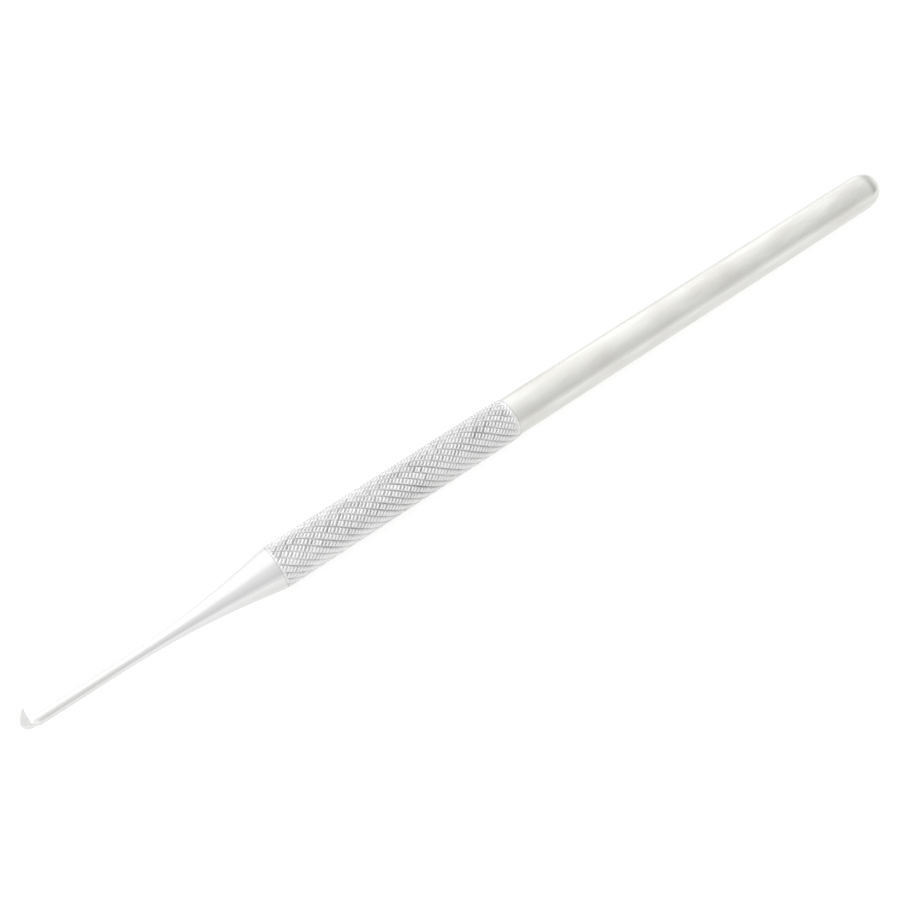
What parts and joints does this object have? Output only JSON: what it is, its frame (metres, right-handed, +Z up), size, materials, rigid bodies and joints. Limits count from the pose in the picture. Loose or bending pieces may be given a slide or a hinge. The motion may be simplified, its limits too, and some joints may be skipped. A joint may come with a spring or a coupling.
{
  "type": "hooked carving pick",
  "caption": "Slim one-ended steel hand tool: small pointed side spur on a thin shank, flared neck, diamond-knurled grip and smooth blunt-ended handle rod.",
  "frame": {"origin": "under the middle of the tool's length, on the surface that the grip lies on", "axes": "+X along the tool from the spur to the blunt end, +Y across the tool, the way the spur points, +Z up"},
  "size_m": [0.1674, 0.007, 0.007],
  "materials": {
    "blade_steel": "bright ground and lightly brushed stainless steel",
    "knurled_steel": "cold-knurled satin stainless steel",
    "handle_steel": "turned and polished stainless steel"
  },
  "bodies": {
    "root": {"working_end": "blade_steel", "grip_sleeve": "knurled_steel", "handle_rod": "handle_steel"}
  },
  "joints": []
}
